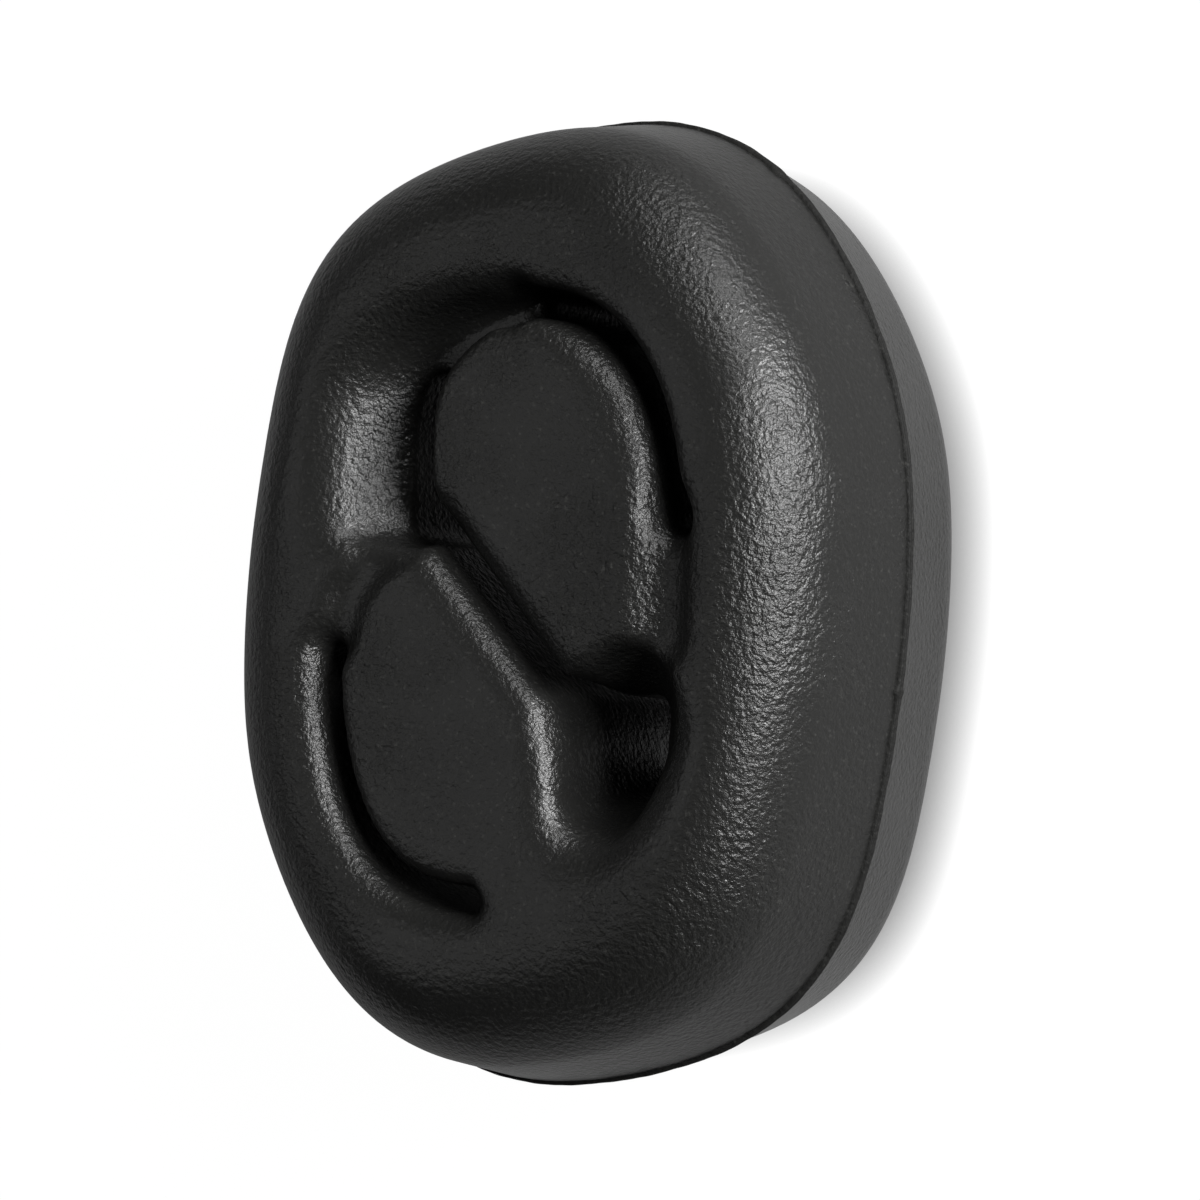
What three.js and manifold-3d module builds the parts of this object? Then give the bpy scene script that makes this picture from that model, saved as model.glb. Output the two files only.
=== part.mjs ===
// Exhaust hanger: one moulded rubber block. A thick oval ring holds two stop lobes, and an S-shaped
// diagonal slit runs between two pin holes. A curved slot frees the outer side of each lobe.
// Units are millimetres. X is the width, Y the long axis, Z the thickness with the front face up.
import * as THREE from 'three';
import { mergeVertices } from 'three/addons/utils/BufferGeometryUtils.js';
import Module from 'manifold-3d';

const wasm = await Module();
wasm.setup();

// Outer body
const HALF_T = 14.6;          // mid-plane to the flat land on the ring's crest
const SHOULDER_R = 8.4;       // radius of the outer shoulder
const CREST_CUT = 0.15;       // how far the land lies below the shoulder arc's own top
const DRAFT = 9.3 * Math.PI / 180;
const MEAN_R = 30.655;        // mean radius of the parting outline
const OUTLINE_COS = [-0.1538, -0.0076, 0.0068, -0.0014];
const OUTLINE_SIN = [0.0013, 0.0009, 0.0108, -0.0051];
const FLASH_H = 0.3;          // height of the flash line on the parting plane
const FLASH_W = 0.35;         // half its width
const OUTLINE_N = 80;

// Lobes, slots and slit
const LOBE_DROP = 0.3;        // how far a lobe's flat face lies below that land
const LOBE_H = HALF_T - LOBE_DROP;
const UPPER_SLOT = { half: 1.05, ax: 14.6, lips: [3.4, 1.2] }; // rounding on the lobe's side and the ring's
const LOWER_SLOT = { half: 0.9, ax: 14, lips: [1.5, 2.4] };
const SLIT_HALF = 1.0;
const SLIT_LIP = 2.7;
const SLIT_PATH = [[-5.1, 4.5], [0.25, -1.375], [5.6, -7.25]];
const DISH_AX = 14.2;         // half width of the oval dish; each slot has its own
const SLOT_UP = 20.7;         // half height of the oval above the centre
const SLOT_DOWN = 21.7;       // its half height below the centre
const OVAL_P = 2.6;           // its superellipse exponent

// Pin holes
const CREASE_H = 7.3;         // height where the lower hole's ramps turn into its straight walls
const FLOOR_H = 9.3;          // height of the upper hole's crease and of the sunk web beside it
const HOLE_LIP = 2.4;
const ARCH_LIP = 0.6;
const POCKET_LIP = 1.6;

function solid(geometry) {
  const bare = geometry.clone();
  bare.deleteAttribute('normal');
  bare.deleteAttribute('uv');
  const merged = mergeVertices(bare, 1e-5);
  return new wasm.Manifold(new wasm.Mesh({
    numProp: 3,
    vertProperties: new Float32Array(merged.attributes.position.array),
    triVerts: new Uint32Array(merged.index.array),
  }));
}

// Closed solid through a stack of rings. Each ring is { z, pts } with equally many points, anticlockwise.
function loft(rings) {
  const n = rings[0].pts.length;
  const pos = [];
  for (const ring of rings) {
    for (const [x, y] of ring.pts) pos.push(x, y, ring.z);
  }
  const index = [];
  for (let k = 0; k + 1 < rings.length; k++) {
    for (let i = 0; i < n; i++) {
      const j = (i + 1) % n;
      const a = k * n + i;
      const b = k * n + j;
      index.push(a, b, b + n, a, b + n, a + n);
    }
  }
  const cap = (ring) => {
    const flat = ring.pts.map(([x, y]) => new THREE.Vector2(x, y));
    return THREE.ShapeUtils.triangulateShape(flat, []);
  };
  for (const [a, b, c] of cap(rings[0])) index.push(a, c, b);
  const top = (rings.length - 1) * n;
  for (const [a, b, c] of cap(rings[rings.length - 1])) index.push(top + a, top + b, top + c);
  const geometry = new THREE.BufferGeometry();
  geometry.setAttribute('position', new THREE.Float32BufferAttribute(pos, 3));
  geometry.setIndex(index);
  return solid(geometry);
}

// Levels given for the front half are repeated on the back half, so that the mid-plane is a mirror.
function mirrored(levels) {
  const back = levels.filter((l) => l.z > 0).map((l) => ({ ...l, z: -l.z })).reverse();
  return [...back, ...levels];
}

// Parting outline and its outward normals, from a mean radius and four even harmonics
function bodyOutline() {
  const at = (t) => {
    let r = 1;
    for (let k = 1; k <= 4; k++) {
      r += OUTLINE_COS[k - 1] * Math.cos(2 * k * t) + OUTLINE_SIN[k - 1] * Math.sin(2 * k * t);
    }
    return [MEAN_R * r * Math.cos(t), MEAN_R * r * Math.sin(t)];
  };
  const out = [];
  for (let i = 0; i < OUTLINE_N; i++) {
    const t = (i / OUTLINE_N) * 2 * Math.PI;
    const p = at(t);
    const a = at(t - 0.01);
    const b = at(t + 0.01);
    const len = Math.hypot(b[0] - a[0], b[1] - a[1]);
    out.push({ p, n: [(b[1] - a[1]) / len, (a[0] - b[0]) / len] });
  }
  return out;
}

// Inset against height: straight at the draft angle, then the shoulder arc up to the land
function bodyProfile() {
  const top = HALF_T + CREST_CUT;
  const yc = top - SHOULDER_R;
  const y1 = yc + SHOULDER_R * Math.sin(DRAFT);
  const d1 = y1 * Math.tan(DRAFT);
  const end = Math.asin((HALF_T - yc) / SHOULDER_R);
  const levels = [
    { z: 0, d: -FLASH_H },
    { z: FLASH_W * 0.6, d: -FLASH_H },
    { z: FLASH_W, d: FLASH_W * Math.tan(DRAFT) },
  ];
  const steps = 7;
  for (let i = 0; i <= steps; i++) {
    const th = DRAFT + (end - DRAFT) * (i / steps);
    levels.push({ z: yc + SHOULDER_R * Math.sin(th), d: d1 + SHOULDER_R * (Math.cos(DRAFT) - Math.cos(th)) });
  }
  return levels;
}

// Point on an oval of half width ax at parameter a, moved outward by w
function oval(a, w, ax) {
  const at = (u) => {
    const c = Math.cos(u);
    const s = Math.sin(u);
    const ay = s > 0 ? SLOT_UP : SLOT_DOWN;
    const e = 2 / OVAL_P;
    return [Math.sign(c) * ax * Math.abs(c) ** e, Math.sign(s) * ay * Math.abs(s) ** e];
  };
  const p = at(a);
  const q = at(a - 0.02);
  const r = at(a + 0.02);
  const len = Math.hypot(r[0] - q[0], r[1] - q[1]);
  const n = [(r[1] - q[1]) / len, (q[0] - r[0]) / len];
  return [p[0] + n[0] * w, p[1] + n[1] * w];
}

// Outline of a band along a path, wider by `out` on its right-hand side and by `inn` on its left,
// with round ends
function band(path, out, inn) {
  const frames = path.map((p, i) => {
    const a = path[Math.max(0, i - 1)];
    const b = path[Math.min(path.length - 1, i + 1)];
    const len = Math.hypot(b[0] - a[0], b[1] - a[1]);
    const t = [(b[0] - a[0]) / len, (b[1] - a[1]) / len];
    return { p, t, n: [t[1], -t[0]] };
  });
  const pts = frames.map(({ p, n }) => [p[0] + n[0] * out, p[1] + n[1] * out]);
  const shift = (out - inn) / 2;
  const rad = (out + inn) / 2;
  const arc = ({ p, t, n }, sign) => {
    for (let i = 1; i < 6; i++) {
      const u = (i / 6) * Math.PI;
      const a = shift + sign * rad * Math.cos(u);
      const b = sign * rad * Math.sin(u);
      pts.push([p[0] + n[0] * a + t[0] * b, p[1] + n[1] * a + t[1] * b]);
    }
  };
  arc(frames[frames.length - 1], 1);
  for (let i = frames.length - 1; i >= 0; i--) {
    const { p, n } = frames[i];
    pts.push([p[0] - n[0] * inn, p[1] - n[1] * inn]);
  }
  arc(frames[0], -1);
  return pts;
}

function arcPath(a0, a1, count, ax) {
  const path = [];
  for (let i = 0; i <= count; i++) path.push(oval(a0 + (a1 - a0) * (i / count), 0, ax));
  return path;
}

// How far a rounded edge of radius r below a face at height top has opened at height z
function growth(z, top, r) {
  const u = z - (top - r);
  if (u <= 0) return 0;
  if (u >= r) return r + Math.max(0, z - top);
  return r - Math.sqrt(r * r - u * u);
}

const LIP_Z = [LOBE_H - 3.5, LOBE_H - 2.1, LOBE_H - 1.1, LOBE_H - 0.4, LOBE_H, HALF_T, HALF_T + 0.6];

function slotCut(a0, a1, count, { half, ax, lips: [lobe, ring] }) {
  const path = arcPath(a0, a1, count, ax);
  return loft(mirrored(LIP_Z.map((z) => ({
    z, pts: band(path, half + growth(z, HALF_T, ring), half + growth(Math.min(z, LOBE_H), LOBE_H, lobe)),
  }))));
}

function slitCut() {
  return loft(mirrored(LIP_Z.map((z) => {
    const w = SLIT_HALF + growth(Math.min(z, LOBE_H), LOBE_H, SLIT_LIP);
    return { z, pts: band(SLIT_PATH, w, w) };
  })));
}

// Shallow valley along a path, given by its half width at each height
function valleyLevels(path, levels) {
  return levels.map(([z, w]) => ({ z, pts: band(path, w, w) }));
}

// Smooth closed outline through named corners
function ringThrough(points, count) {
  const knots = points.map(([x, y]) => new THREE.Vector3(x, y, 0));
  const curve = new THREE.CatmullRomCurve3(knots, true, 'centripetal');
  return curve.getPoints(count).slice(0, count).map((v) => [v.x, v.y]);
}

// Closed anticlockwise outline moved outward by a distance that may vary with y
function widened(pts, distance) {
  return pts.map(([x, y], i) => {
    const a = pts[(i + pts.length - 1) % pts.length];
    const b = pts[(i + 1) % pts.length];
    const len = Math.hypot(b[0] - a[0], b[1] - a[1]);
    const w = distance(y);
    return [x + ((b[1] - a[1]) / len) * w, y - ((b[0] - a[0]) / len) * w];
  });
}

function mixed(a, b, u) {
  return a.map(([x, y], i) => [x + (b[i][0] - x) * u, y + (b[i][1] - y) * u]);
}

const turned = (pts) => pts.map(([x, y]) => [-x, -y]);

// Lower pin hole, anticlockwise from the slit's upper corner by way of the lower lobe's side:
// at the mid-plane, at its crease, at 11 mm and above the crest
const LOWER_HOLE = [
  [[5.8, -7.4], [5.7, -9], [5.8, -10.8], [7, -12.4], [9, -13.8], [10.6, -14.4],
    [11.2, -13], [11.2, -10.4], [11.2, -8], [10.4, -7], [9.1, -7], [7.4, -7.1]],
  [[5.8, -7], [5.6, -9], [5.6, -11.8], [6.2, -14], [8, -15], [10, -15.1],
    [11.2, -13.7], [11.2, -10.2], [11.2, -7.7], [10.5, -6.8], [9.1, -6.8], [7.2, -6.9]],
  [[5.8, -6.5], [5.5, -9], [5.6, -12.4], [6.1, -15.4], [8, -16.4], [10.4, -16.2],
    [12.4, -13.6], [13.7, -9.6], [13.5, -6.3], [12.2, -4.7], [10, -4.7], [7.6, -5.7]],
  [[5.7, -6], [5.2, -9], [5.6, -13], [6.6, -17.8], [9.2, -18.8], [12, -17.4],
    [15, -14], [16.5, -9.6], [15.6, -5], [13.6, -2.9], [10.2, -3], [7.6, -4.9]],
];

// Upper pin hole after half a turn: the straight hole, then the pocket above it at its floor,
// at 12 mm and above the crest. The pocket runs on over the sunk web.
const UPPER_HOLE = [
  [5.5, -5.2], [5.6, -8.7], [5.6, -12], [6, -14.6], [7.6, -16.2], [9.1, -15.6], [9.95, -13],
  [9.95, -7.6], [9.7, -4.6], [8.2, -3.6], [6, -3.6],
];
const UPPER_POCKET = [
  [
    [5.7, -5.2], [5.8, -8.7], [5.8, -12.4], [5, -15.4], [3.4, -17.4], [1.1, -18.9],
    [-1.2, -19.4], [-1.2, -20.9], [1.8, -20.7], [4.2, -19.9], [6.6, -18.7], [8.7, -17],
    [9.6, -15.2], [9.9, -12], [9.95, -8], [9.9, -5.2], [9.2, -4.3], [7.2, -4.2],
  ],
  [
    [5.6, -5.1], [5.7, -8.7], [5.7, -12.4], [4.9, -15.3], [3.3, -17.3], [1, -18.8],
    [-1.2, -19.3], [-1.2, -21.3], [2, -21.2], [5.3, -20.5], [8.4, -19.2], [10.8, -17.3],
    [12.2, -15], [12.7, -11], [12.6, -6.5], [12, -4.1], [9.8, -3.3], [7, -3.5],
  ],
  [
    [5.4, -4.9], [5.6, -8.7], [5.6, -12.4], [4.8, -15.2], [3.1, -17.1], [0.9, -18.6],
    [-1.2, -19.1], [-1.2, -21.9], [2.3, -21.9], [6.3, -21.2], [10, -19.9], [13, -17.7],
    [15.1, -15], [15.8, -10.4], [15.4, -5.2], [14, -3], [10.6, -2.1], [6.7, -2.9],
  ],
];
const RIM_H = HALF_T - 0.1;
const HOLE_Z = [RIM_H - 1.9, RIM_H - 1.1, RIM_H - 0.5, RIM_H, HALF_T + 0.6];

function lowerHoleCut() {
  const [mid, crease, low, top] = LOWER_HOLE.map((pts) => ringThrough(pts, 36));
  const rings = [{ z: 0, pts: mid }, { z: CREASE_H, pts: crease }, { z: 11, pts: low }];
  for (const z of HOLE_Z) {
    const lip = (y) => growth(z, RIM_H, ARCH_LIP + (HOLE_LIP - ARCH_LIP) * Math.min(Math.max((-5.5 - y) / 4, 0), 1));
    rings.push({ z, pts: widened(mixed(low, top, (z - 11) / 4.2), lip) });
  }
  return loft(mirrored(rings));
}

function upperHoleCut() {
  const pts = turned(ringThrough(UPPER_HOLE, 33));
  const z = HALF_T + 0.6;
  return loft([{ z: -z, pts }, { z, pts }]);
}

function pocketLevels() {
  const [floor, low, top] = UPPER_POCKET.map((pts) => ringThrough(pts, 46));
  const rings = [{ z: FLOOR_H, pts: turned(floor) }, { z: 12, pts: turned(low) }];
  for (const z of HOLE_Z) {
    const lip = () => growth(z, RIM_H, POCKET_LIP);
    rings.push({ z, pts: turned(widened(mixed(low, top, (z - 12) / 3.2), lip)) });
  }
  return rings;
}

// Shallow dish that lowers the lobes a little below the ring's crest
function dishLevels() {
  const levels = [[LOBE_H, -1.5], [HALF_T, 2], [HALF_T + 0.6, 9]];
  return levels.map(([z, w]) => {
    const pts = [];
    for (let i = 0; i < 60; i++) pts.push(oval((i / 60) * 2 * Math.PI + 0.001, w, DISH_AX));
    return { z, pts };
  });
}

// The same cut on the front face and, with its levels turned over, on the back face
function bothFaces(levels) {
  return [loft(levels), loft(levels.map((l) => ({ ...l, z: -l.z })).reverse())];
}

const outline = bodyOutline();
let body = loft(mirrored(bodyProfile().map(({ z, d }) => ({
  z, pts: outline.map(({ p, n }) => [p[0] - n[0] * d, p[1] - n[1] * d]),
}))));

const rad = Math.PI / 180;
// Valleys from the upper slot's end to the lower pin hole, and from the upper pin hole to the lower slot's end
const rightValley = valleyLevels(
  [[14.3, -3], [14.3, 1], [14.2, 5]],
  [[13, 0.6], [13.3, 1.6], [13.9, 2.6], [LOBE_H, 3.3], [HALF_T, 4.2], [HALF_T + 0.6, 6]],
);
const leftValley = valleyLevels(
  [[-8.6, 3.2], [-10.7, 1.6], [-12.2, -0.6], [-12.9, -3.4]],
  [[13.3, 0.4], [13.6, 1.1], [14, 1.6], [LOBE_H, 2], [HALF_T, 3], [HALF_T + 0.6, 4.4]],
);
const cuts = [
  ...bothFaces(dishLevels()),
  slotCut(10.8 * rad, 87 * rad, 16, UPPER_SLOT),
  slotCut(187.6 * rad, 267.8 * rad, 16, LOWER_SLOT),
  slitCut(),
  ...bothFaces(rightValley),
  ...bothFaces(leftValley),
  lowerHoleCut(),
  upperHoleCut(),
  ...bothFaces(pocketLevels()),
];
for (const cut of cuts) body = body.subtract(cut);

const mesh = body.getMesh();
const geometry = new THREE.BufferGeometry();
geometry.setAttribute('position', new THREE.Float32BufferAttribute(mesh.vertProperties, 3));
geometry.setIndex(Array.from(mesh.triVerts));
geometry.translate(0, 0, HALF_T);
geometry.computeVertexNormals();

const rubber = new THREE.MeshStandardMaterial({ color: 0x1c1c1d, roughness: 0.6, metalness: 0 });
rubber.name = 'black_rubber';
const hanger = new THREE.Mesh(geometry, rubber);
hanger.name = 'hanger';

const group = new THREE.Group();
group.name = 'exhaust_hanger';
group.add(hanger);
export default group;
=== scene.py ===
import math

import bpy
import numpy as np
from mathutils import Matrix, Vector


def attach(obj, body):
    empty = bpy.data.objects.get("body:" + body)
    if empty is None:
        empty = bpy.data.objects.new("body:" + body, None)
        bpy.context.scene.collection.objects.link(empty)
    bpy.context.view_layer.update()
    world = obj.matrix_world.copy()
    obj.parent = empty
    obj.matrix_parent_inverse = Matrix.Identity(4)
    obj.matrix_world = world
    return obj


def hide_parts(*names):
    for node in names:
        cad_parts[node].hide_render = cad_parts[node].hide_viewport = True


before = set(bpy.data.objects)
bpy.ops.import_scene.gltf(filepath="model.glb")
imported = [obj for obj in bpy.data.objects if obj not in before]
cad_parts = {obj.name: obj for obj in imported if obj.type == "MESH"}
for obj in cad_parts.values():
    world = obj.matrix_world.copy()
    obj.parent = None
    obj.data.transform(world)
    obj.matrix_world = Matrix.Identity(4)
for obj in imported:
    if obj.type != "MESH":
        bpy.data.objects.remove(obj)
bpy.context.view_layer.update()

# The body
# The hanger is one moulded block of black rubber lying on its back: an oval ring with a rounded outer
# shoulder, two lobes inside it, two curved slots, a diagonal slit and two pin holes with ramps.

HALF = 14.6          # mid-plane to the flat land on the ring's crest, in millimetres
LOBE = 14.3          # mid-plane to a lobe's flat face
CREASE = 7.3         # mid-plane to the crease of the lower pin hole
FLOOR = 9.3          # mid-plane to the crease and the sunk web beside the upper pin hole


def parting_outline(t):
    """Radius of the parting outline at plan angle t: a mean radius times one plus four even harmonics."""
    cosines = (-0.1538, -0.0076, 0.0068, -0.0014)
    sines = (0.0013, 0.0009, 0.0108, -0.0051)
    r = np.ones_like(t)
    for k in range(4):
        r = r + cosines[k] * np.cos(2 * (k + 1) * t) + sines[k] * np.sin(2 * (k + 1) * t)
    return 30.655 * r


def slot_oval(a, ax=14.2):
    """Superellipse that the slots follow, at parameter a: exponent 2.6, a little lower below the centre."""
    c, s = np.cos(a), np.sin(a)
    height = np.where(s > 0, 20.7, 21.7)
    power = 2 / 2.6
    return np.stack([ax * np.sign(c) * np.abs(c) ** power, height * np.sign(s) * np.abs(s) ** power], -1)


def closed_curve(corners, per=10):
    """Closed centripetal Catmull-Rom curve through the corners, by the pyramid of linear blends."""
    p = np.asarray(corners, float)
    out = []
    for i in range(len(p)):
        q = [p[(i + j - 1) % len(p)] for j in range(4)]
        t = [0.0]
        for j in range(3):
            t.append(t[-1] + math.sqrt(np.linalg.norm(q[j + 1] - q[j])))
        u = np.linspace(t[1], t[2], per, endpoint=False)[:, None]

        def blend(first, second, start, end):
            return (end - u) / (end - start) * first + (u - start) / (end - start) * second

        a = [blend(q[j], q[j + 1], t[j], t[j + 1]) for j in range(3)]
        b = [blend(a[j], a[j + 1], t[j], t[j + 2]) for j in range(2)]
        out.append(blend(b[0], b[1], t[1], t[2]))
    return np.concatenate(out)


def path_distance(x, y, path, closed=False):
    """Distance from each point to a polyline: the least over its segments of the distance to the nearest
    point of that segment. For a closed path it is negative inside, by counting edge crossings."""
    a = np.asarray(path, float)
    b = np.roll(a, -1, 0) if closed else a[1:]
    a = a if closed else a[:-1]
    best = np.full(x.shape, 1e9)
    inside = np.zeros(x.shape, bool)
    for (ax, ay), (bx, by) in zip(a, b):
        dx, dy = bx - ax, by - ay
        u = np.clip(((x - ax) * dx + (y - ay) * dy) / (dx * dx + dy * dy + 1e-12), 0, 1)
        best = np.minimum(best, (x - ax - u * dx) ** 2 + (y - ay - u * dy) ** 2)
        if closed and dy != 0:
            inside ^= ((ay > y) != (by > y)) & (x < ax + (y - ay) * dx / dy)
    d = np.sqrt(best)
    return np.where(inside, -d, d) if closed else d


def smooth_max(a, b, k):
    """Larger of a and b, with the corner between them blended over the width k by a parabola."""
    h = np.maximum(k - np.abs(a - b), 0) / k
    return np.maximum(a, b) + h * h * k / 4


def through_levels(height, levels, layers):
    """Value at each height between plan layers: straight below the crease, a cubic Hermite curve above it."""
    out = np.empty((layers[0].shape[0], layers[0].shape[1], len(height)), np.float32)
    slopes = [(layers[2] - layers[1]) / (levels[2] - levels[1])]
    for i in range(2, len(levels) - 1):
        slopes.append((layers[i + 1] - layers[i - 1]) / (levels[i + 1] - levels[i - 1]))
    slopes.append((layers[-1] - layers[-2]) / (levels[-1] - levels[-2]))
    for j, h in enumerate(height):
        i = int(np.clip(np.searchsorted(levels, h, side="right") - 1, 0, len(levels) - 2))
        w = levels[i + 1] - levels[i]
        u = min(max((h - levels[i]) / w, 0), 1)
        if i == 0:
            out[:, :, j] = layers[0] * (1 - u) + layers[1] * u
        else:
            m0, m1 = slopes[i - 1] * w, slopes[i] * w
            out[:, :, j] = (
                (2 * u**3 - 3 * u**2 + 1) * layers[i] + (u**3 - 2 * u**2 + u) * m0
                + (3 * u**2 - 2 * u**3) * layers[i + 1] + (u**3 - u**2) * m1
            )
    return out


def surface_net(field, origin, cell):
    """Quad mesh of the zero level of a field on a regular grid. Each cell that the level passes through
    gets one point, the mean of the crossings on its edges, and each crossed grid edge gives one quad
    between the four cells around it."""
    neg = field < 0
    shape = np.array(field.shape) - 1
    total = np.zeros((*shape, 3), np.float32)
    count = np.zeros(shape, np.int16)
    quads_from = []
    for axis in range(3):
        lo = [slice(None)] * 3
        hi = [slice(None)] * 3
        lo[axis], hi[axis] = slice(0, -1), slice(1, None)
        a, b = field[tuple(lo)], field[tuple(hi)]
        cross = neg[tuple(lo)] != neg[tuple(hi)]
        idx = np.argwhere(cross)
        va, vb = a[cross], b[cross]
        point = idx.astype(np.float32)
        point[:, axis] += va / (va - vb)
        o1, o2 = [k for k in range(3) if k != axis]
        for d1 in (0, 1):
            for d2 in (0, 1):
                c = idx.copy()
                c[:, o1] -= d1
                c[:, o2] -= d2
                ok = (c >= 0).all(1) & (c < shape).all(1)
                np.add.at(total, tuple(c[ok].T), point[ok])
                np.add.at(count, tuple(c[ok].T), 1)
        quads_from.append((axis, idx, va < 0))
    used = count > 0
    number = np.full(shape, -1, np.int64)
    number[used] = np.arange(int(used.sum()))
    verts = total[used] / count[used][:, None] * cell + np.asarray(origin, np.float32)
    faces = []
    for axis, idx, rising in quads_from:
        o1, o2 = [(1, 2), (2, 0), (0, 1)][axis]
        ring = []
        for d1, d2 in ((0, 0), (1, 0), (1, 1), (0, 1)):
            c = idx.copy()
            c[:, o1] -= d1
            c[:, o2] -= d2
            ring.append(number[tuple(c.T)])
        quad = np.stack(ring, -1)
        faces.append(np.where(rising[:, None], quad, quad[:, ::-1]))
    return verts, np.concatenate(faces)


def body_field(x, y, z):
    """Field of the rubber, negative inside. Outside it is the drafted side, shoulder arc and crest land over
    the inset from the parting outline. The dish, slots, slit, sunk web and pin holes are taken away with
    blended edges."""
    gx, gy = np.meshgrid(x, y, indexing="ij")
    h = np.abs(z - HALF)
    t = np.linspace(0, 2 * np.pi, 300, endpoint=False)
    edge = np.stack([parting_outline(t) * np.cos(t), parting_outline(t) * np.sin(t)], -1)
    inset = -path_distance(gx, gy, edge, closed=True)[:, :, None]

    radius, draft = 8.4, math.radians(9.3)
    centre_h = HALF + 0.15 - radius
    side_h = centre_h + radius * math.sin(draft)
    centre_s = side_h * math.tan(draft) + radius * math.cos(draft)
    ws, wh = inset - centre_s, h[None, None, :] - centre_h
    line = -ws * math.cos(draft) + wh * math.sin(draft)
    corner = (wh * math.cos(draft) + ws * math.sin(draft) > 0) & (ws < 0)
    body = np.where(corner & (wh > 0), np.hypot(ws, wh), np.maximum(line, wh + 0 * ws)) - radius
    body = smooth_max(body, h[None, None, :] - HALF + 0 * ws, 0.25)

    around = slot_oval(np.linspace(0, 2 * np.pi, 240, endpoint=False) + 0.001)
    oval = path_distance(gx, gy, around, closed=True)[:, :, None]
    rise = np.clip(oval / 5 + 0.5, 0, 1)
    level = LOBE + (HALF + 0.1 - LOBE) * rise * rise * (3 - 2 * rise)
    body = smooth_max(body, h[None, None, :] - level, 0.25)

    ring_side = np.clip(0.5 + oval / 1.4, 0, 1)
    along = np.clip((gx - 1) / 7, 0, 1) * np.clip((gy - 4.5) / 4, 0, 1)
    wide_lip = (1.6 + 2.6 * along)[:, :, None]
    upper_slot = (10.8, 87, 14.6, 1.05, wide_lip, 1.4)
    lower_slot = (187.6, 267.8, 14.0, 0.9, 1.7, 2.8)
    for first, last, ax, half, inner, outer in (upper_slot, lower_slot):
        slot = path_distance(gx, gy, slot_oval(np.radians(np.linspace(first, last, 60)), ax))
        body = smooth_max(body, half - slot[:, :, None], inner + (outer - inner) * ring_side)
    slit = path_distance(gx, gy, [(-5.1, 4.5), (5.6, -7.25)])
    body = smooth_max(body, 1.0 - slit[:, :, None], 3.2)
    for path, floor, half, edge in (
        (((14.3, 5), (14.3, -3)), 13.0, 1.1, 3.0),
        (((-8.6, 3.2), (-10.7, 1.6), (-12.2, -0.6), (-12.9, -3.4)), 13.6, 0.9, 2.0),
    ):
        valley = path_distance(gx, gy, path)[:, :, None] - half
        valley = smooth_max(valley, floor - h[None, None, :], edge * 0.7)
        body = smooth_max(body, -valley, edge)

    def stack(levels, sections, sign):
        layers = [path_distance(gx, gy, sign * closed_curve(s), closed=True) for s in sections]
        return through_levels(h, np.array(levels), layers)

    below_arch = np.clip((-5.5 - gy) / 4, 0, 1)[:, :, None]
    body = smooth_max(body, -stack((0, CREASE, 11, HALF + 0.6), LOWER_HOLE, 1), 0.9 + 2.1 * below_arch)
    pocket = stack((0, FLOOR, 12, HALF + 0.6), UPPER_POCKET, -1)
    pocket = smooth_max(pocket, FLOOR - h[None, None, :] + 0 * pocket, 0.8)
    body = smooth_max(body, -pocket, 1.3 + 1.1 * np.clip(0.5 + oval / 3, 0, 1))
    pin = path_distance(gx, gy, -closed_curve(UPPER_HOLE), closed=True)[:, :, None] + 0 * pocket
    body = smooth_max(body, -pin, 0.3)
    return body


# Plan outlines of the lower pin hole at the mid-plane, its crease, 11 mm and above the crest, each
# anticlockwise from the slit's upper corner.
LOWER_HOLE = (
    ((5.8, -7.4), (5.7, -9), (5.8, -10.8), (7, -12.4), (9, -13.8), (10.6, -14.4),
     (11.2, -13), (11.2, -10.4), (11.2, -8), (10.4, -7), (9.1, -7), (7.4, -7.1)),
    ((5.8, -7), (5.6, -9), (5.6, -11.8), (6.2, -14), (8, -15), (10, -15.1),
     (11.2, -13.7), (11.2, -10.2), (11.2, -7.7), (10.5, -6.8), (9.1, -6.8), (7.2, -6.9)),
    ((5.8, -6.5), (5.5, -9), (5.6, -12.4), (6.1, -15.4), (8, -16.4), (10.4, -16.2),
     (12.4, -13.6), (13.7, -9.6), (13.5, -6.3), (12.2, -4.7), (10, -4.7), (7.6, -5.7)),
    ((5.7, -6), (5.2, -9), (5.6, -13), (6.6, -17.8), (9.2, -18.8), (12, -17.4),
     (15, -14), (16.5, -9.6), (15.6, -5), (13.6, -2.9), (10.2, -3), (7.6, -4.9)),
)
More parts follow.
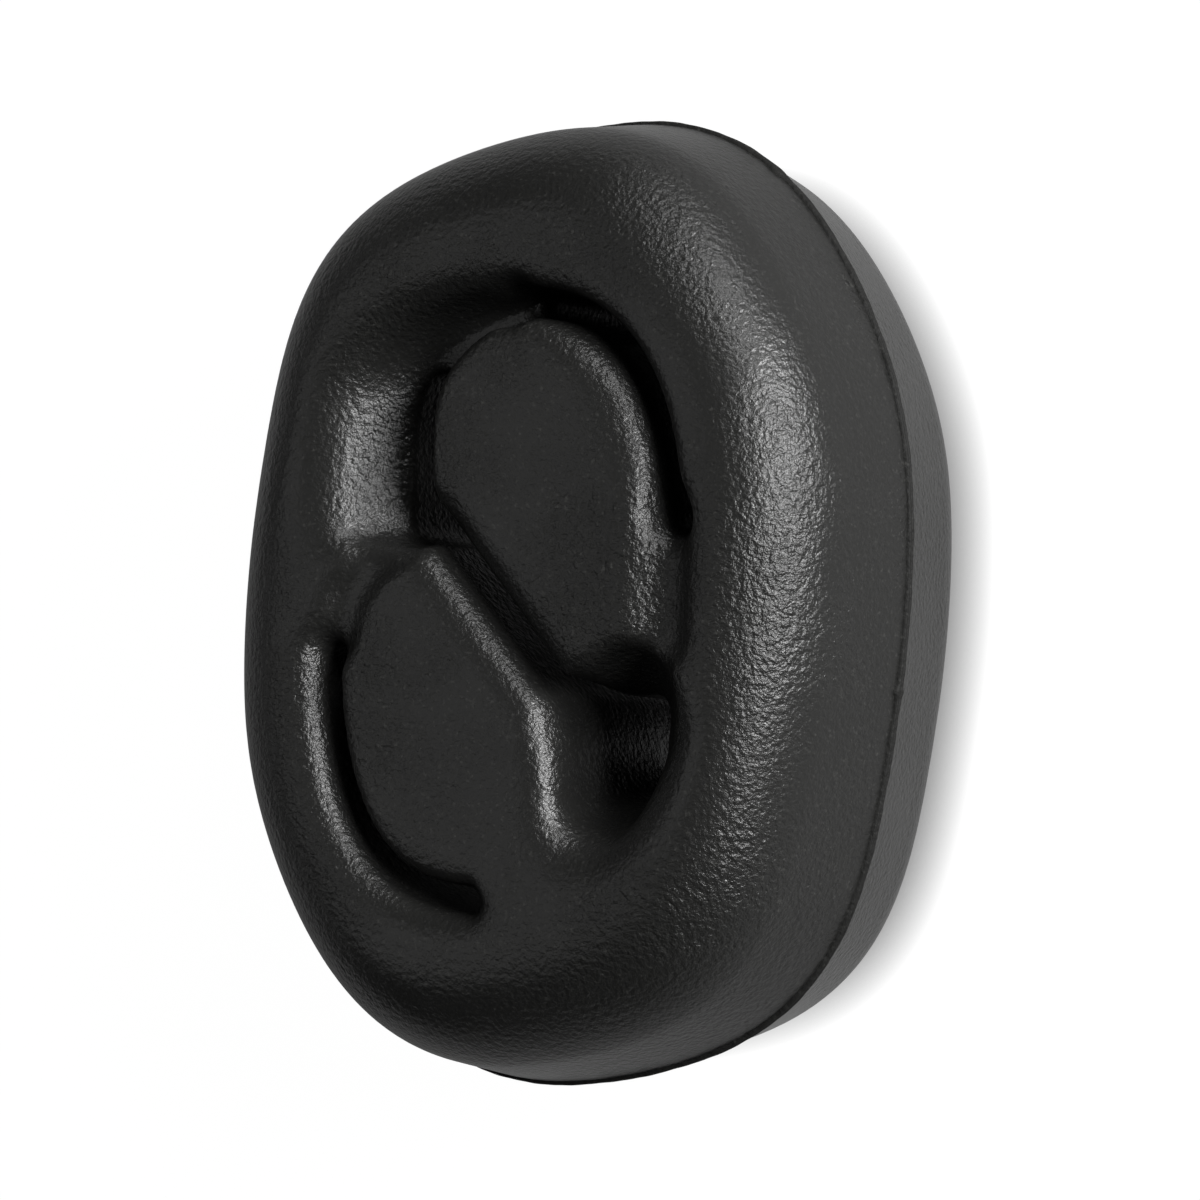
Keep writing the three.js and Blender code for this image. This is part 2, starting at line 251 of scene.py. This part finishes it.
# The upper pin hole, and the pocket above it at the floor, 12 mm and above the crest, after half a turn.
UPPER_HOLE = (
    (5.5, -5.2), (5.6, -8.7), (5.6, -12), (6, -14.6), (7.6, -16.2), (9.1, -15.6), (9.95, -13),
    (9.95, -7.6), (9.7, -4.6), (8.2, -3.6), (6, -3.6),
)
UPPER_POCKET = (
    (
        (5.7, -5.2), (5.8, -8.7), (5.8, -12.4), (5, -15.4), (3.4, -17.4), (1.1, -18.9),
        (-1.2, -19.4), (-1.2, -20.9), (1.8, -20.7), (4.2, -19.9), (6.6, -18.7), (8.7, -17),
        (9.6, -15.2), (9.9, -12), (9.95, -8), (9.9, -5.2), (9.2, -4.3), (7.2, -4.2),
    ),
    (
        (5.7, -5.2), (5.8, -8.7), (5.8, -12.4), (5, -15.4), (3.4, -17.4), (1.1, -18.9),
        (-1.2, -19.4), (-1.2, -20.9), (1.8, -20.7), (4.2, -19.9), (6.6, -18.7), (8.7, -17),
        (9.6, -15.2), (9.9, -12), (9.95, -8), (9.9, -5.2), (9.2, -4.3), (7.2, -4.2),
    ),
    (
        (5.6, -5.1), (5.7, -8.7), (5.7, -12.4), (4.9, -15.3), (3.3, -17.3), (1, -18.8),
        (-1.2, -19.3), (-1.2, -21.3), (2, -21.2), (5.3, -20.5), (8.4, -19.2), (10.8, -17.3),
        (12.2, -15), (12.7, -11), (12.6, -6.5), (12, -4.1), (9.8, -3.3), (7, -3.5),
    ),
    (
        (5.4, -4.9), (5.6, -8.7), (5.6, -12.4), (4.8, -15.2), (3.1, -17.1), (0.9, -18.6),
        (-1.2, -19.1), (-1.2, -21.4), (2.3, -21.8), (6.3, -21.2), (10, -19.9), (13, -17.7),
        (15.1, -15), (15.8, -10.4), (15.4, -5.2), (14, -3), (10.6, -2.1), (6.7, -2.9),
    ),
)

cell = 0.48
xs = np.arange(-27.12, 27.2, cell)
ys = np.arange(-36.24, 36.3, cell)
zs = HALF + (np.arange(64) - 31.5) * cell
field = body_field(xs, ys, zs)
verts, quads = surface_net(field, (xs[0], ys[0], zs[0]), cell)


def add_mesh(name, points, faces, smooth=True):
    """Mesh object at the origin from points in millimetres and index rows."""
    mesh = bpy.data.meshes.new(name)
    mesh.from_pydata((np.asarray(points) / 1000).tolist(), [], np.asarray(faces).tolist())
    mesh.polygons.foreach_set("use_smooth", [smooth] * len(mesh.polygons))
    mesh.update()
    obj = bpy.data.objects.new(name, mesh)
    bpy.context.scene.collection.objects.link(obj)
    return obj


body = add_mesh("rubber_body", verts, quads)


# The flash line
# A thin raised bead runs round the parting plane, with a dent along its middle.
# It has two small nubs on the right.


def flash_bead(n=900, m=9):
    """Closed bead along the parting outline. At plan angle t its section has m points and two low
    crests with a dent between them. Its height and width have ripples, and two nubs stand out."""
    t = np.linspace(0, 2 * np.pi, n, endpoint=False)
    r = parting_outline(t)
    p = np.stack([r * np.cos(t), r * np.sin(t)], -1)
    d = np.roll(p, -1, 0) - np.roll(p, 1, 0)
    normal = np.stack([d[:, 1], -d[:, 0]], -1) / np.linalg.norm(d, axis=1)[:, None]
    ripple = 0.5 * np.sin(31 * t + 1.3) + 0.3 * np.sin(67 * t) + 0.2 * np.sin(139 * t + 0.7)
    high = 0.22 + 0.03 * ripple
    wide = 0.34 + 0.04 * ripple
    for at, spread, grow in ((1.15, 0.022, 0.04), (-0.23, 0.012, 0.04)):
        bump = np.exp(-(((t - at + np.pi) % (2 * np.pi) - np.pi) / spread) ** 2)
        high = high + grow * bump
        wide = wide + 6 * grow * bump
    across = np.array([-1, -0.85, -0.5, -0.2, 0, 0.2, 0.5, 0.85, 1])
    stand = np.array([-0.5, 0.6, 1, 0.75, 0.3, 0.75, 1, 0.6, -0.5])
    out = high[:, None] * stand
    up = wide[:, None] * across
    plan = p[:, None, :] + normal[:, None, :] * out[:, :, None]
    pts = np.concatenate([plan, (HALF + up)[:, :, None]], -1)
    i = np.arange(n)[:, None] * m + np.arange(m - 1)[None, :]
    j = (np.arange(n)[:, None] + 1) % n * m + np.arange(m - 1)[None, :]
    faces = np.stack([i, j, j + 1, i + 1], -1).reshape(-1, 4)
    return pts.reshape(-1, 3), faces


flash = add_mesh("flash_bead", *flash_bead())


# The rubber
# Satin black rubber, a little warm. The skin has a fine pebbled grain of about a third of a millimetre,
# which sparkles where the light grazes it, and a faint dust. The torn edge of the flash line is duller.

rubber = bpy.data.materials.new("black rubber")
rubber.use_nodes = True
nodes, links = rubber.node_tree.nodes, rubber.node_tree.links
shader = nodes["Principled BSDF"]
shader.inputs["Base Color"].default_value = (0.012, 0.012, 0.0115, 1)
shader.inputs["Roughness"].default_value = 0.3
shader.inputs["Specular IOR Level"].default_value = 0.4
place = nodes.new("ShaderNodeTexCoord")
grain = nodes.new("ShaderNodeTexNoise")
grain.inputs["Scale"].default_value = 2300
grain.inputs["Detail"].default_value = 3
grain.inputs["Roughness"].default_value = 0.55
links.new(place.outputs["Object"], grain.inputs["Vector"])
patchy = nodes.new("ShaderNodeTexNoise")
patchy.inputs["Scale"].default_value = 90
patchy.inputs["Detail"].default_value = 2
links.new(place.outputs["Object"], patchy.inputs["Vector"])
amount = nodes.new("ShaderNodeMapRange")
amount.inputs["From Min"].default_value = 0.35
amount.inputs["From Max"].default_value = 0.65
amount.inputs["To Min"].default_value = 0.45
amount.inputs["To Max"].default_value = 1.0
links.new(patchy.outputs["Fac"], amount.inputs["Value"])
bump = nodes.new("ShaderNodeBump")
bump.inputs["Distance"].default_value = 0.00022
links.new(amount.outputs["Result"], bump.inputs["Strength"])
links.new(grain.outputs["Fac"], bump.inputs["Height"])
links.new(bump.outputs["Normal"], shader.inputs["Normal"])
dust = nodes.new("ShaderNodeTexNoise")
dust.inputs["Scale"].default_value = 3100
dust.inputs["Detail"].default_value = 1
links.new(place.outputs["Object"], dust.inputs["Vector"])
specks = nodes.new("ShaderNodeMapRange")
specks.inputs["From Min"].default_value = 0.62
specks.inputs["From Max"].default_value = 0.85
links.new(dust.outputs["Fac"], specks.inputs["Value"])
tone = nodes.new("ShaderNodeMix")
tone.data_type = "RGBA"
tone.inputs["A"].default_value = (0.012, 0.012, 0.0115, 1)
tone.inputs["B"].default_value = (0.034, 0.034, 0.032, 1)
links.new(specks.outputs["Result"], tone.inputs["Factor"])
links.new(tone.outputs["Result"], shader.inputs["Base Color"])
torn = rubber.copy()
torn.name = "torn rubber edge"
torn.node_tree.nodes["Principled BSDF"].inputs["Roughness"].default_value = 0.6
torn.node_tree.nodes["Principled BSDF"].inputs["Specular IOR Level"].default_value = 0.12
for piece, finish in ((body, rubber), (flash, torn)):
    piece.data.materials.append(finish)
    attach(piece, "root")
    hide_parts("hanger")


# The white table
# The part lies on a pure white ground. Close to the part's edge, ambient occlusion darkens the ground's glow,
# a painted contact shade.
# The glow also lights the part a little, as painted light, and it shows brighter in the rubber's reflections
# where the ground lies close by, a painted reflection.

bpy.ops.mesh.primitive_plane_add(size=2.4, location=(0, 0, 0))
table = bpy.context.object
table.name = "white_table"
white = bpy.data.materials.new("white table")
white.use_nodes = True
nodes, links = white.node_tree.nodes, white.node_tree.links
nodes["Principled BSDF"].inputs["Base Color"].default_value = (0.3, 0.3, 0.3, 1)
nodes["Principled BSDF"].inputs["Roughness"].default_value = 0.9
nodes["Principled BSDF"].inputs["Specular IOR Level"].default_value = 0.0
glow = nodes.new("ShaderNodeEmission")
glow.inputs["Strength"].default_value = 1.08
# Painted contact shade: ambient occlusion darkens the colour of the ground's glow close to the part.
contact_shade = nodes.new("ShaderNodeAmbientOcclusion")
contact_shade.inputs["Distance"].default_value = 0.0035
links.new(contact_shade.outputs["Color"], glow.inputs["Color"])
path = nodes.new("ShaderNodeLightPath")
# The camera sees almost only the glow. Other rays get a little of it, so the ground's glow lights the part as
# painted light.
share = nodes.new("ShaderNodeMapRange")
share.inputs["To Min"].default_value = 0.12
share.inputs["To Max"].default_value = 0.92
mix = nodes.new("ShaderNodeMixShader")
seen = nodes.new("ShaderNodeMath")
seen.operation = "ADD"
# Painted reflection: glossy rays that meet the ground within 34 mm see more of its glow, most of all within
# 14 mm.
close = nodes.new("ShaderNodeMapRange")
close.inputs["From Min"].default_value = 0.034
close.inputs["From Max"].default_value = 0.014
close.inputs["To Max"].default_value = 0.25
mirrored = nodes.new("ShaderNodeMath")
mirrored.operation = "MULTIPLY"
links.new(path.outputs["Ray Length"], close.inputs["Value"])
links.new(close.outputs["Result"], mirrored.inputs[0])
links.new(path.outputs["Is Glossy Ray"], mirrored.inputs[1])
links.new(path.outputs["Is Camera Ray"], seen.inputs[0])
links.new(mirrored.outputs[0], seen.inputs[1])
through = nodes.new("ShaderNodeMath")
through.operation = "ADD"
links.new(seen.outputs[0], through.inputs[0])
links.new(path.outputs["Is Transmission Ray"], through.inputs[1])
links.new(through.outputs[0], share.inputs["Value"])
links.new(share.outputs[0], mix.inputs[0])
links.new(nodes["Principled BSDF"].outputs[0], mix.inputs[1])
links.new(glow.outputs[0], mix.inputs[2])
links.new(mix.outputs[0], nodes["Material Output"].inputs["Surface"])
table.data.materials.append(white)


# Light and camera
# Soft boxes stand low on the right, above that and at the upper right, with a weak one over the left.
# The camera looks down on the part from its right, so that the oval leans a little in the picture.


def soft_box(name, direction, distance, size, power):
    """Area lamp that stands at a distance along a direction from the part and faces it."""
    lamp = bpy.data.lights.new(name, "AREA")
    lamp.shape = "RECTANGLE"
    lamp.size, lamp.size_y = size
    lamp.energy = power
    obj = bpy.data.objects.new(name, lamp)
    d = Vector(direction).normalized()
    obj.location = Vector((0, 0, HALF / 1000)) + d * distance
    obj.rotation_euler = d.to_track_quat("Z", "Y").to_euler()
    bpy.context.scene.collection.objects.link(obj)
    return obj


def turned(beta, lift):
    """Direction beta degrees from straight up towards +X, turned by lift degrees towards +Y."""
    b, u = math.radians(beta), math.radians(lift)
    return (math.sin(b) * math.cos(u), math.sin(b) * math.sin(u), math.cos(b))


soft_box("right softbox", turned(77, 22), 0.7, (0.16, 0.18), 5.2)
soft_box("higher right softbox", turned(60, 10), 0.7, (0.24, 0.17), 3.6)
soft_box("top right softbox", turned(64, 60), 0.7, (0.17, 0.24), 1.8)
soft_box("left overhead", turned(38, 180), 0.9, (0.6, 0.9), 0.95)

world = bpy.data.worlds.new("pale room")
world.use_nodes = True
world.node_tree.nodes["Background"].inputs["Color"].default_value = (0.8, 0.8, 0.8, 1)
world.node_tree.nodes["Background"].inputs["Strength"].default_value = 0.035
bpy.context.scene.world = world

az, el, roll = math.radians(32.19), math.radians(-2.19), math.radians(2.27)
towards = Vector((math.sin(az) * math.cos(el), math.sin(el), math.cos(az) * math.cos(el)))
right = Vector((math.cos(az), 0, -math.sin(az)))
up = Vector((-math.sin(az) * math.sin(el), math.cos(el), -math.cos(az) * math.sin(el)))
right, up = right * math.cos(roll) + up * math.sin(roll), up * math.cos(roll) - right * math.sin(roll)
lens = bpy.data.cameras.new("photo view")
lens.lens = 13.7 * 350 / 1200 * 36
lens.sensor_width = 36
lens.shift_x = (600 - 594.7) / 1200
lens.shift_y = (603 - 600) / 1200
lens.clip_start = 0.01
camera = bpy.data.objects.new("photo view", lens)
stand = Matrix.Translation(Vector((0, 0, HALF / 1000)) + towards * 0.35)
camera.matrix_world = stand @ Matrix((right, up, towards)).transposed().to_4x4()
bpy.context.scene.collection.objects.link(camera)
bpy.context.scene.camera = camera
bpy.context.scene.view_settings.view_transform = "Standard"
